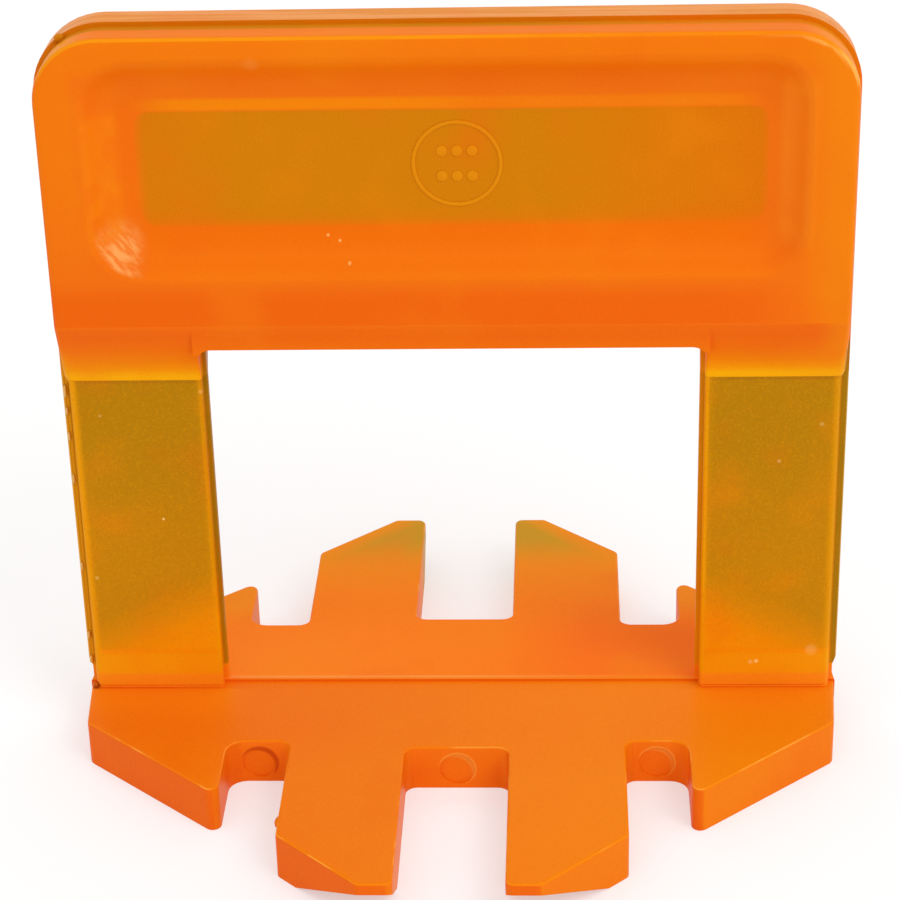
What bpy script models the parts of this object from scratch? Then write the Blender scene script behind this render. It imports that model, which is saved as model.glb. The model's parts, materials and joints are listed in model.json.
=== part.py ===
"""Tile levelling clip: one translucent orange plastic moulding.

An upright frame, with a dished head over two thin break-away legs, stands on a comb-shaped base
that goes under the tiles. The wedge that is driven through the window isn't part of it.
X runs across the clip, -Y is the front, +Z is up, and the origin is the middle of the underside.
The mould opens along Y, so each form is made as a front half and a back half that meet at Y = 0.
"""

import math

import bmesh
import bpy
from mathutils import Euler, Matrix, Vector

MM = 0.001

# Frame, over its back half
OVERALL_WIDTH = 46.0 * MM
OVERALL_HEIGHT = 45.6 * MM
HEAD_THICKNESS = 4.5 * MM
HEAD_CORNER_RADIUS = 4.1 * MM
FRAME_EDGE_ROUNDING = 0.4 * MM
# The front half of the frame is this much smaller than the back half, all round the parting line
PARTING_STEP = 0.25 * MM

# Window for the wedge, which seats under the lip of the head
WINDOW_WIDTH = 28.8 * MM
WINDOW_HEIGHT = 23.35 * MM
WINDOW_CORNER_RADIUS = 0.8 * MM
LIP_HEIGHT = 1.85 * MM
LIP_SETBACK = 0.35 * MM
LIP_LEDGE = 0.45 * MM
LIP_LEDGE_DROP = 0.2 * MM

# Legs
LEG_THICKNESS = 1.3 * MM
# In the front half a leg's outer side steps in below the ramp, and in the back half it does so at the foot
LEG_STEP = 0.2 * MM
LEG_STEP_TAPER = 0.6 * MM
FOOT_STEP = 0.2 * MM
FOOT_STEP_HEIGHT = 1.2 * MM
FOOT_STEP_TAPER = 0.6 * MM
HEAD_RAMP_DROP = 4.1 * MM
RAMP_START_DROP = 0.15 * MM
FOOT_THICKNESS = 1.7 * MM
FOOT_HEIGHT = 1.0 * MM
FOOT_RAMP_HEIGHT = 1.5 * MM
BREAK_LINE_DEPTH = 0.15 * MM
BREAK_LINE_HEIGHT = 0.15 * MM

# Dish in each face of the head, with a thin web at its bottom
WEB_THICKNESS = 1.4 * MM
DISH_SIDE_RIM = 2.6 * MM
DISH_TOP_RIM = 1.3 * MM
DISH_BOTTOM_RIM = 2.7 * MM
SIDE_FLANK_WIDTH = 2.6 * MM
WEB_CORNER_RADIUS = 0.8 * MM
# Shares of the dish's height
TOP_FLANK_SHARE = 0.28
BOTTOM_FLANK_SHARE = 0.22
DISH_CORNER_SHARE = 0.21
FLANK_ANGLE = math.radians(50)
RIM_ANGLE = math.radians(12)
# How tightly the rim is rounded, against the bowl's own curve
RIM_ROUNDING_SHARE = 0.45

# Base plate, with its spine under the legs
BASE_THICKNESS = 2.9 * MM
BASE_STEP = 0.2 * MM
BASE_SIDE_STEP = 0.06 * MM
BASE_EDGE_ROUNDING = 0.18 * MM
BASE_SIDE_TAPER = 0.4 * MM
BASE_CORNER_REACH = 4.6 * MM
BASE_CORNER_RADIUS = 0.8 * MM
SIDE_SPINE_REACH = 6.6 * MM
CENTRE_SPINE_REACH = 7.3 * MM
OUTER_ROOT_RADIUS = 1.1 * MM
INNER_ROOT_RADIUS = 0.7 * MM

# Fingers, two inner and two outer ones on each side of the spine
CENTRE_GAP = 6.2 * MM
SIDE_GAP = 3.75 * MM
INNER_FINGER_WIDTH = 6.9 * MM
INNER_FINGER_REACH = 20.75 * MM
INNER_SHOULDER_REACH = 16.1 * MM
INNER_TIP_WIDTH = 2.0 * MM
OUTER_FINGER_REACH = 12.25 * MM
FINGER_CORNER_RADIUS = 0.5 * MM
TIP_THICKNESS = 0.72 * MM
TIP_RAMP_LENGTH = 3.6 * MM

# Round marks that the ejector pins leave in the front wall of the spine
PIN_MARK_RADIUS = 1.05 * MM
PIN_MARK_DEPTH = 0.15 * MM
PIN_MARK_HEIGHT = 1.35 * MM

# How far a cutter runs out of the wall, and how far joined shapes run into each other
CUTTER_REACH = 1.0 * MM
TONGUE = 0.3 * CUTTER_REACH
FRAME_OVERRUN = 0.7 * CUTTER_REACH
BASE_OVERRUN = 1.2 * CUTTER_REACH
RIM_OVERRUN = 0.02 * CUTTER_REACH
ROOT_DEPTH = 1.5 * CUTTER_REACH

SMALL_ARC_STEPS = 5
HEAD_ARC_STEPS = 12
DISH_ARC_STEPS = 8
DISH_RINGS = 8
RIM_RINGS = 4
EDGE_SEGMENTS = 3
PIN_MARK_SIDES = 24
WELD_DISTANCE = 0.000002
FLAT_ANGLE = math.radians(0.2)
SMOOTH_ANGLE = math.radians(28)

# How much of a face's normal lies along an axis that the face looks along, leans towards, or stands beside
SQUARE_ON = 0.9
LEANING = 0.6
EDGE_ON = 0.1

FRONT, BACK = -1, 1

# A view is the turn that brings a flat outline into it, and the world axis that the outline faces
PLAN = (Euler((0, 0, 0)), 2)
FRONT_ELEVATION = (Euler((math.pi / 2, 0, 0)), 1)
SIDE_ELEVATION = (Euler((math.pi / 2, 0, math.pi / 2)), 0)

WINDOW_TOP = BASE_THICKNESS + WINDOW_HEIGHT
LIP_TOP = WINDOW_TOP + LIP_HEIGHT
LIP_BOTTOM = WINDOW_TOP - LIP_LEDGE_DROP
LIP_END = WINDOW_WIDTH / 2 + LIP_LEDGE
RAMP_FOOT = LIP_TOP - HEAD_RAMP_DROP
FOOT_TOP = BASE_THICKNESS + FOOT_HEIGHT
DISH_HEIGHT = OVERALL_HEIGHT - DISH_TOP_RIM - DISH_BOTTOM_RIM - LIP_TOP
# The rounding along the window ends under the lip's ledge, which is just wide enough for it
WINDOW_EDGE_ROUNDING = (LIP_LEDGE - PARTING_STEP) * 0.85
INNER_FINGER_START = CENTRE_GAP / 2
SIDE_GAP_START = INNER_FINGER_START + INNER_FINGER_WIDTH
OUTER_FINGER_START = SIDE_GAP_START + SIDE_GAP


def clear_scene():
    for item in list(bpy.data.objects):
        bpy.data.objects.remove(item, do_unlink=True)


def new_collection(name):
    collection = bpy.data.collections.new(name)
    bpy.context.scene.collection.children.link(collection)
    return collection


def rounded(corners):
    """Points of a closed outline, from corners given as (a, b, radius, arc steps)."""
    points = []
    for index, (a, b, radius, steps) in enumerate(corners):
        corner = Vector((a, b))
        if not radius:
            points.append(corner)
            continue
        before = (Vector(corners[index - 1][:2]) - corner).normalized()
        after = (Vector(corners[(index + 1) % len(corners)][:2]) - corner).normalized()
        half_opening = before.angle(after) / 2
        centre = corner + (before + after).normalized() * radius / math.sin(half_opening)
        start = corner + before * radius / math.tan(half_opening) - centre
        end = corner + after * radius / math.tan(half_opening) - centre
        sweep = start.angle_signed(end)
        for step in range(steps + 1):
            turn = Matrix.Rotation(-sweep * step / steps, 2)
            points.append(centre + turn @ start)
    return points


def helper_object(name, mesh, collection):
    item = bpy.data.objects.new(name, mesh)
    item.hide_render = True
    item.display_type = "WIRE"
    collection.objects.link(item)
    return item


def tidy_mesh(mesh):
    """Welds the caps to the sides, makes each flat part one face, and turns the faces outwards."""
    cage = bmesh.new()
    cage.from_mesh(mesh)
    bmesh.ops.remove_doubles(cage, verts=cage.verts, dist=WELD_DISTANCE)
    bmesh.ops.dissolve_limit(cage, angle_limit=FLAT_ANGLE, verts=cage.verts, edges=cage.edges)
    bmesh.ops.recalc_face_normals(cage, faces=cage.faces)
    cage.to_mesh(mesh)
    cage.free()


def evaluated_mesh(item):
    bpy.context.view_layer.update()
    mesh = bpy.data.meshes.new_from_object(item.evaluated_get(bpy.context.evaluated_depsgraph_get()))
    mesh.transform(item.matrix_world)
    return mesh


def extruded(name, outline, view, start, end, collection):
    """A flat outline in the given view, extruded from start to end along the axis that it faces."""
    turn, axis = view
    curve = bpy.data.curves.new(name, "CURVE")
    curve.dimensions = "2D"
    curve.fill_mode = "BOTH"
    curve.extrude = abs(end - start) / 2
    spline = curve.splines.new("POLY")
    spline.points.add(len(outline) - 1)
    for point, (a, b) in zip(spline.points, outline):
        point.co = (a, b, 0, 1)
    spline.use_cyclic_u = True
    shape = bpy.data.objects.new(name, curve)
    shape.rotation_euler = turn
    shape.location[axis] = (start + end) / 2
    collection.objects.link(shape)
    mesh = evaluated_mesh(shape)
    bpy.data.objects.remove(shape, do_unlink=True)
    tidy_mesh(mesh)
    return helper_object(name, mesh, collection)


def block(name, corner, opposite, collection):
    """A box between two opposite corners."""
    low = Vector(map(min, corner, opposite))
    high = Vector(map(max, corner, opposite))
    cage = bmesh.new()
    place = Matrix.Translation((low + high) / 2) @ Matrix.Diagonal((*(high - low), 1))
    bmesh.ops.create_cube(cage, size=1, matrix=place)
    mesh = bpy.data.meshes.new(name)
    cage.to_mesh(mesh)
    cage.free()
    return helper_object(name, mesh, collection)


def combine(item, other, operation):
    modifier = item.modifiers.new(f"{operation.lower()} {other.name}", "BOOLEAN")
    modifier.operation = operation
    modifier.object = other
    modifier.solver = "EXACT"


def settle(item):
    """Makes the modifiers part of the mesh, so that its edges can be picked by place."""
    mesh = evaluated_mesh(item)
    item.modifiers.clear()
    item.data = mesh
    tidy_mesh(mesh)


def round_edges(item, rounding, largest):
    """Bevels each convex edge by what rounding gives for it and the two faces that meet there."""
    cage = bmesh.new()
    cage.from_mesh(item.data)
    weight = cage.edges.layers.float.new("bevel_weight_edge")
    for edge in cage.edges:
        if edge.is_convex:
            wall, face = edge.link_faces
            edge[weight] = max(rounding(edge, wall, face), rounding(edge, face, wall)) / largest
    cage.to_mesh(item.data)
    cage.free()
    bevel = item.modifiers.new("rounded edges", "BEVEL")
    bevel.limit_method = "WEIGHT"
    bevel.offset_type = "OFFSET"
    bevel.width = largest
    bevel.segments = EDGE_SEGMENTS
    bevel.use_clamp_overlap = False
    item.modifiers.new("flat faces for the joins", "TRIANGULATE")


def frame_outline(inset, leg_step, foot_step):
    """The frame seen from the front, an upside-down U with a deep top, made smaller by inset."""
    side = OVERALL_WIDTH / 2 - inset
    top = OVERALL_HEIGHT - inset
    opening = WINDOW_WIDTH / 2 + inset
    seat = WINDOW_TOP + inset
    root = BASE_THICKNESS - ROOT_DEPTH
    foot_step_top = BASE_THICKNESS + FOOT_STEP_HEIGHT
    right = [
        (opening, root, 0, 0),
        (side - leg_step - foot_step, root, 0, 0),
        (side - leg_step - foot_step, foot_step_top, 0, 0),
        (side - leg_step, foot_step_top + FOOT_STEP_TAPER, 0, 0),
        (side - leg_step, RAMP_FOOT - LEG_STEP_TAPER / 2, 0, 0),
        (side, RAMP_FOOT + LEG_STEP_TAPER / 2, 0, 0),
        (side, top, HEAD_CORNER_RADIUS - inset, HEAD_ARC_STEPS),
    ]
    left = [(-a, b, radius, steps) for a, b, radius, steps in reversed(right)]
    window = [
        (-opening, seat, WINDOW_CORNER_RADIUS, SMALL_ARC_STEPS),
        (opening, seat, WINDOW_CORNER_RADIUS, SMALL_ARC_STEPS),
    ]
    return rounded(right + left + window)


def leg_clearance(side):
    """What is cut away in front of a leg, seen from the side, from the break line up to the ramp."""
    beyond = HEAD_THICKNESS / 2 + CUTTER_REACH
    below = BASE_THICKNESS - ROOT_DEPTH - CUTTER_REACH
    break_top = BASE_THICKNESS + BREAK_LINE_HEIGHT
    neck = FOOT_THICKNESS / 2 - BREAK_LINE_DEPTH
    ramp_slope = (HEAD_THICKNESS - LEG_THICKNESS) / 2 / (HEAD_RAMP_DROP - RAMP_START_DROP)
    points = [
        (beyond, below),
        (neck, below),
        (neck, break_top),
        (FOOT_THICKNESS / 2, break_top + BREAK_LINE_DEPTH),
        (FOOT_THICKNESS / 2, FOOT_TOP),
        (LEG_THICKNESS / 2, FOOT_TOP + FOOT_RAMP_HEIGHT),
        (LEG_THICKNESS / 2, RAMP_FOOT),
        (beyond, RAMP_FOOT + (beyond - LEG_THICKNESS / 2) / ramp_slope),
    ]
    return [(side * depth, height) for depth, height in points]


def lip_clearance(side):
    """What is cut away in front of the lip, which leans back below the edge of the head's face."""
    beyond = HEAD_THICKNESS / 2 + CUTTER_REACH
    below = BASE_THICKNESS - ROOT_DEPTH - CUTTER_REACH
    lean = LIP_SETBACK / LIP_HEIGHT
    points = [
        (beyond, below),
        (HEAD_THICKNESS / 2 - LIP_SETBACK, below),
        (HEAD_THICKNESS / 2 - LIP_SETBACK, WINDOW_TOP),
        (beyond, LIP_TOP + CUTTER_REACH / lean),
    ]
    return [(side * depth, height) for depth, height in points]


def frame_half(side, name, cutters):
    """One half of the frame, cut back to the lip and the thin legs, with rounded face edges."""
    steps = (PARTING_STEP, LEG_STEP, 0) if side == FRONT else (0, 0, FOOT_STEP)
    half = extruded(name, frame_outline(*steps), FRONT_ELEVATION,
                    -side * FRAME_OVERRUN, side * HEAD_THICKNESS / 2, cutters)
    width = OVERALL_WIDTH / 2 + CUTTER_REACH
    over_lip = extruded(f"{name}_lip_clearance", lip_clearance(side), SIDE_ELEVATION,
                        -width, width, cutters)
    over_legs = extruded(f"{name}_leg_clearance", leg_clearance(side), SIDE_ELEVATION,
                         -width, width, cutters)
    kept_lip = block(f"{name}_kept_lip", (-LIP_END, 0, LIP_BOTTOM),
                     (LIP_END, side * 2 * HEAD_THICKNESS, 2 * OVERALL_HEIGHT), cutters)
    combine(over_legs, kept_lip, "DIFFERENCE")
    combine(half, over_lip, "DIFFERENCE")
    combine(half, over_legs, "DIFFERENCE")
    settle(half)

    def rounding(edge, wall, face):
        middle = wall.calc_center_median()
        top = max(vertex.co.z for vertex in edge.verts) - WELD_DISTANCE
        if abs(wall.normal.y) > EDGE_ON or face.normal.y * side < LEANING:
            return 0
        if middle.z > LIP_TOP or abs(middle.x) > LIP_END + WELD_DISTANCE:
            return FRAME_EDGE_ROUNDING
        return WINDOW_EDGE_ROUNDING if top < LIP_BOTTOM else 0

    round_edges(half, rounding, FRAME_EDGE_ROUNDING)
    return half


def base_outline(side):
    """One half of the comb seen from above, from the parting line out round its four fingers."""
    width = OVERALL_WIDTH / 2 - (BASE_SIDE_STEP if side == FRONT else 0)
    right = [
        (width, -BASE_OVERRUN, 0, 0),
        (width, 0, 0, 0),
        (width - BASE_SIDE_TAPER, BASE_CORNER_REACH, BASE_CORNER_RADIUS, SMALL_ARC_STEPS),
        (OUTER_FINGER_START, OUTER_FINGER_REACH, FINGER_CORNER_RADIUS, SMALL_ARC_STEPS),
        (OUTER_FINGER_START, SIDE_SPINE_REACH, OUTER_ROOT_RADIUS, SMALL_ARC_STEPS),
        (SIDE_GAP_START, SIDE_SPINE_REACH, INNER_ROOT_RADIUS, SMALL_ARC_STEPS),
        (SIDE_GAP_START, INNER_SHOULDER_REACH, FINGER_CORNER_RADIUS, SMALL_ARC_STEPS),
        (INNER_FINGER_START + INNER_TIP_WIDTH, INNER_FINGER_REACH, FINGER_CORNER_RADIUS, SMALL_ARC_STEPS),
        (INNER_FINGER_START, INNER_FINGER_REACH, FINGER_CORNER_RADIUS, SMALL_ARC_STEPS),
        (INNER_FINGER_START, CENTRE_SPINE_REACH, INNER_ROOT_RADIUS, SMALL_ARC_STEPS),
    ]
    left = [(-a, b, radius, steps) for a, b, radius, steps in reversed(right)]
    return rounded([(a, side * b, radius, steps) for a, b, radius, steps in right + left])


def base_profile(side):
    """The comb seen from the side: its tips are thinned from below, and the back half starts higher."""
    step = BASE_STEP if side == BACK else 0
    ramp_start = INNER_FINGER_REACH - TIP_RAMP_LENGTH
    run = TIP_RAMP_LENGTH / (BASE_THICKNESS - TIP_THICKNESS)
    points = [
        (-2 * BASE_OVERRUN, -CUTTER_REACH),
        (-2 * BASE_OVERRUN, BASE_THICKNESS + step),
        (0, BASE_THICKNESS + step),
        (INNER_FINGER_REACH, BASE_THICKNESS),
        (ramp_start + run * BASE_THICKNESS, BASE_THICKNESS),
        (ramp_start - run * CUTTER_REACH, -CUTTER_REACH),
    ]
    return [(side * depth, height) for depth, height in points]


def base_half(side, name, cutters):
    """One half of the base: its plan where the side profile fills it, with rounded top edges."""
    half = extruded(name, base_outline(side), PLAN,
                    -2 * CUTTER_REACH, BASE_THICKNESS + BASE_STEP + CUTTER_REACH, cutters)
    width = OVERALL_WIDTH / 2 + CUTTER_REACH
    profile = extruded(f"{name}_profile", base_profile(side), SIDE_ELEVATION, -width, width, cutters)
    combine(half, profile, "INTERSECT")
    settle(half)

    def rounding(edge, wall, top):
        is_top_edge = abs(wall.normal.z) < EDGE_ON and top.normal.z > SQUARE_ON
        is_clear = wall.calc_center_median().y * side > WELD_DISTANCE
        return BASE_EDGE_ROUNDING if is_top_edge and is_clear else 0

    round_edges(half, rounding, BASE_EDGE_ROUNDING)
    return half


def mould_half(side, name, cutters):
    """The base and the frame of one half, cut flat where the other half takes over."""
    half = base_half(side, f"{name}_base", cutters)
    combine(half, frame_half(side, f"{name}_frame", cutters), "UNION")
    tongue = TONGUE if side == FRONT else 0
    beyond = 2 * OVERALL_WIDTH
    other_half = block(f"{name}_end", (-beyond, -side * tongue, -beyond),
                       (beyond, -side * beyond, beyond), cutters)
    combine(half, other_half, "DIFFERENCE")
    return half


def dish_ring(spread, depth):
    """One ring of the dish, from the web's outline at spread 0 to the rim's at spread 1."""
    side = OVERALL_WIDTH / 2 - DISH_SIDE_RIM - SIDE_FLANK_WIDTH * (1 - spread)
    top = OVERALL_HEIGHT - DISH_TOP_RIM - DISH_HEIGHT * TOP_FLANK_SHARE * (1 - spread)
    bottom = LIP_TOP + DISH_BOTTOM_RIM + DISH_HEIGHT * BOTTOM_FLANK_SHARE * (1 - spread)
    radius = WEB_CORNER_RADIUS + (DISH_HEIGHT * DISH_CORNER_SHARE - WEB_CORNER_RADIUS) * spread
    corners = [(side, bottom), (side, top), (-side, top), (-side, bottom)]
    outline = rounded([(a, b, radius, DISH_ARC_STEPS) for a, b in corners])
    return [(a, depth, b) for a, b in outline]


def flank_profile():
    """Points (spread, rise) of the dish's flank: it curves up like a bowl, then rounds over to the rim."""
    points = []
    for index in range(DISH_RINGS + 1):
        angle = FLANK_ANGLE * index / DISH_RINGS
        points.append(Vector((math.sin(angle), 1 - math.cos(angle))))
    turn = points[-1]
    for index in range(1, RIM_RINGS + 1):
        angle = FLANK_ANGLE + (RIM_ANGLE - FLANK_ANGLE) * index / RIM_RINGS
        across = math.sin(FLANK_ANGLE) - math.sin(angle)
        up = math.cos(angle) - math.cos(FLANK_ANGLE)
        points.append(turn + RIM_ROUNDING_SHARE * Vector((across, up)))
    end = points[-1]
    return [(across / end.x, up / end.y) for across, up in points]


def dish_cutter(side, name, cutters):
    """A loft of rings from the web out to the rim, just past the face, and then straight out."""
    flank_depth = (HEAD_THICKNESS - WEB_THICKNESS) / 2 + RIM_OVERRUN
    rings = [
        dish_ring(spread, side * (WEB_THICKNESS / 2 + rise * flank_depth))
        for spread, rise in flank_profile()
    ]
    rings.append(dish_ring(1, side * (HEAD_THICKNESS / 2 + CUTTER_REACH)))
    cage = bmesh.new()
    loops = [[cage.verts.new(point) for point in ring] for ring in rings]
    for lower, upper in zip(loops, loops[1:]):
        for index in range(len(lower)):
            cage.faces.new((lower[index - 1], lower[index], upper[index], upper[index - 1]))
    cage.faces.new(loops[0])
    cage.faces.new(loops[-1])
    bmesh.ops.recalc_face_normals(cage, faces=cage.faces)
    mesh = bpy.data.meshes.new(name)
    cage.to_mesh(mesh)
    cage.free()
    return helper_object(name, mesh, cutters)


def pin_mark_cutter(name, across, wall_reach, cutters):
    """A short cylinder that sinks a round mark into the front wall of the spine."""
    length = PIN_MARK_DEPTH + CUTTER_REACH
    middle = wall_reach - PIN_MARK_DEPTH + length / 2
    place = Matrix.Translation((across, FRONT * middle, PIN_MARK_HEIGHT))
    cage = bmesh.new()
    bmesh.ops.create_cone(
        cage, cap_ends=True, segments=PIN_MARK_SIDES,
        radius1=PIN_MARK_RADIUS, radius2=PIN_MARK_RADIUS, depth=length,
        matrix=place @ Matrix.Rotation(math.pi / 2, 4, "X"),
    )
    mesh = bpy.data.meshes.new(name)
    cage.to_mesh(mesh)
    cage.free()
    return helper_object(name, mesh, cutters)


def orange_plastic():
    material = bpy.data.materials.new("translucent_orange_plastic")
    material.use_nodes = True
    shader = material.node_tree.nodes["Principled BSDF"]
    shader.inputs["Base Color"].default_value = (0.84, 0.15, 0.01, 1)
    shader.inputs["Roughness"].default_value = 0.35
    shader.inputs["Metallic"].default_value = 0
    return material


def shade(item):
    """Smooths the rounded parts and keeps the flat faces flat."""
    item.data.shade_smooth()
    item.data.set_sharp_from_angle(angle=SMOOTH_ANGLE)
    weighted = item.modifiers.new("weighted normals", "WEIGHTED_NORMAL")
    weighted.keep_sharp = True


def levelling_clip(parts, cutters):
    """The whole moulding: its two halves joined, then levelled below, dished and marked by the pins."""
    clip = bpy.data.objects.new("levelling_clip", evaluated_mesh(mould_half(BACK, "back", cutters)))
    parts.objects.link(clip)
    clip.data.materials.append(orange_plastic())
    combine(clip, mould_half(FRONT, "front", cutters), "UNION")
    beyond = 2 * OVERALL_WIDTH
    underside = block("underside", (-beyond, -beyond, 0), (beyond, beyond, -beyond), cutters)
    combine(clip, underside, "DIFFERENCE")
    combine(clip, dish_cutter(FRONT, "front_dish", cutters), "DIFFERENCE")
    combine(clip, dish_cutter(BACK, "back_dish", cutters), "DIFFERENCE")
    side_gap_middle = SIDE_GAP_START + SIDE_GAP / 2
    for name, across, wall_reach in (
        ("left_pin_mark", -side_gap_middle, SIDE_SPINE_REACH),
        ("middle_pin_mark", 0, CENTRE_SPINE_REACH),
        ("right_pin_mark", side_gap_middle, SIDE_SPINE_REACH),
    ):
        combine(clip, pin_mark_cutter(name, across, wall_reach, cutters), "DIFFERENCE")
    settle(clip)
    shade(clip)
    return clip


def main():
    clear_scene()
    parts = new_collection("tile_levelling_clip")
    cutters = new_collection("cutters")
    levelling_clip(parts, cutters)
    for item in list(cutters.objects):
        bpy.data.objects.remove(item, do_unlink=True)
    bpy.data.collections.remove(cutters)


main()
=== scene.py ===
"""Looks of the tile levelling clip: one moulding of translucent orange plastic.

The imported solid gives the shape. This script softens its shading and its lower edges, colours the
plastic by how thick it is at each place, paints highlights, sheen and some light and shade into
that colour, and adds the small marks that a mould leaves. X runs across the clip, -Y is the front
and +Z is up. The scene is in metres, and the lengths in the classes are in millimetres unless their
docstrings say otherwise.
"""

import json
import logging
import math
from dataclasses import dataclass
from enum import Enum
from typing import Callable, Mapping, Protocol, Sequence

import bpy
from mathutils import Euler, Matrix, Vector

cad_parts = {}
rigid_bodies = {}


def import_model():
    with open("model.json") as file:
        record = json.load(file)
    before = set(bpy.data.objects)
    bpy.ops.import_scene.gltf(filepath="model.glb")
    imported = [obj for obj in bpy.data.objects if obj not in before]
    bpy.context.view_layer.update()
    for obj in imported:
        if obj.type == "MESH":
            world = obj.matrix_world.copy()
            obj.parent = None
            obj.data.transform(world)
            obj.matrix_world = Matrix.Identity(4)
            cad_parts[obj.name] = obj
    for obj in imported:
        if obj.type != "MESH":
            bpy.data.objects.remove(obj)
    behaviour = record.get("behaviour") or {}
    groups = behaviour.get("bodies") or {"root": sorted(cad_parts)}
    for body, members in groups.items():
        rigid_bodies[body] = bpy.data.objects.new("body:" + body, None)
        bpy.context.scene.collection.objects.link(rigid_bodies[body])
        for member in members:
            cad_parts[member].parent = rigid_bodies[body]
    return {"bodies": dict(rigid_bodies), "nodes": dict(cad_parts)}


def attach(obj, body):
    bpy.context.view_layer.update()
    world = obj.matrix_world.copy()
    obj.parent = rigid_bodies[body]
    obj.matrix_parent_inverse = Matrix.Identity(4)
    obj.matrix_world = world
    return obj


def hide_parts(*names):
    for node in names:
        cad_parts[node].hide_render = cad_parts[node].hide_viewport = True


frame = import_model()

LOG = logging.getLogger("levelling_clip")
MM = 0.001
CLOSE = 0.01 * MM
WHITE = (1.0, 1.0, 1.0)
TO_FRONT = (math.radians(90), 0, 0)

Colour = tuple[float, float, float]
Operand = "Field | float"
Stops = Sequence[tuple[float, "Tone"]]


def linear(red: int, green: int, blue: int) -> Colour:
    """A colour as a screen shows it, turned into the linear light that shaders use.

    Args:
        red: Red from 0 to 255.
        green: Green from 0 to 255.
        blue: Blue from 0 to 255.

    Returns:
        The linear colour, each part from 0 to 1.
    """
    parts = (red / 255, green / 255, blue / 255)
    return tuple(
        part / 12.92 if part <= 0.04045 else ((part + 0.055) / 1.055) ** 2.4 for part in parts
    )


class Tone(Enum):
    """The colours that the plastic takes, by the thickness of the wall, and on its marks, and the
    painted highlights, sheen, light and shade laid over them.
    """

    SHADED_EDGE = linear(168, 108, 10)
    LEG = linear(180, 125, 4)
    LEG_LOW = linear(195, 130, 4)
    THIN_TIP = linear(203, 150, 18)
    WEB = linear(208, 124, 2)
    WEB_RIGHT = linear(224, 113, 2)
    BRIGHT_EDGE = linear(238, 156, 2)
    RAMP_END = linear(248, 172, 2)
    RAMP_LOW = linear(244, 148, 0)
    FOOT = linear(242, 151, 6)
    GLOW = linear(243, 134, 2)
    PALE_RIM = linear(240, 120, 6)
    # A lighter orange: painted light and highlights in some places, lighter cloudy patches in
    # others.
    PAINTED_LIGHT_AND_CLOUD = linear(241, 131, 10)
    THICK = linear(238, 112, 12)
    BESIDE_WEB = linear(238, 109, 2)
    LIP = linear(236, 98, 8)
    WALL = linear(238, 101, 14)
    PARTING_SHADE = linear(202, 122, 10)
    SALMON_SHEEN = linear(234, 152, 78)
    SCUFF = linear(246, 170, 92)
    SPECK = linear(252, 206, 120)
    RIGHT_FLANK_LIGHT = linear(248, 134, 24)
    RIGHT_RIM_LIGHT = linear(239, 129, 8)
    BACK_SEAM = linear(247, 121, 8)
    BACK = linear(247, 121, 4)
    BACK_MIDDLE = linear(246, 124, 4)
    BACK_FINGER = linear(246, 131, 4)
    BACK_FINGER_END = linear(243, 139, 4)
    BACK_TIP = linear(238, 148, 8)
    OUTER_TIP = linear(240, 135, 8)
    BACK_LEFT = linear(249, 130, 24)
    BACK_RIGHT = linear(244, 104, 4)
    STEP_HIGHLIGHT = linear(248, 160, 78)
    NOTCH_FILL_LIGHT = linear(250, 124, 20)
    EDGE_HIGHLIGHT = linear(252, 164, 60)
    BESIDE_LEG_LIGHT = linear(246, 134, 18)
    RAMP_YELLOWER = linear(241, 131, 4)
    RAMP_MIDDLE = linear(239, 114, 8)
    RAMP_UPPER = linear(237, 104, 12)
    RAMP_TOP = linear(237, 106, 14)
    FOOT_UPPER = linear(243, 147, 4)
    FOOT_FADE = linear(236, 143, 2)
    LEG_FADE = linear(217, 137, 4)
    FOOT_BOTTOM_LIGHT = linear(246, 138, 22)
    BREAK_LINE_LIGHT = linear(255, 150, 30)
    SHADED_LEDGE = linear(160, 120, 12)
    LIT_LEDGE = linear(222, 146, 12)
    THIN_LINE = linear(160, 108, 10)
    PALE_OUTLINE = linear(238, 196, 110)
    ROUNDING_HIGHLIGHT = linear(243, 150, 12)
    CORNER_HIGHLIGHT = linear(253, 182, 84)
    WINDOW_EDGE_HIGHLIGHT = linear(248, 172, 70)
    STRIP_STREAK = linear(226, 136, 40)
    RAISED_MARK = linear(232, 146, 10)
    PALE_BEAD = linear(236, 206, 140)
    DARK_LUMP = linear(176, 70, 12)
    WINDOW_CORNER = linear(150, 104, 60)
    PIN_SHADE = linear(218, 88, 10)
    PIN_LIGHT = linear(252, 160, 56)


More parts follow.
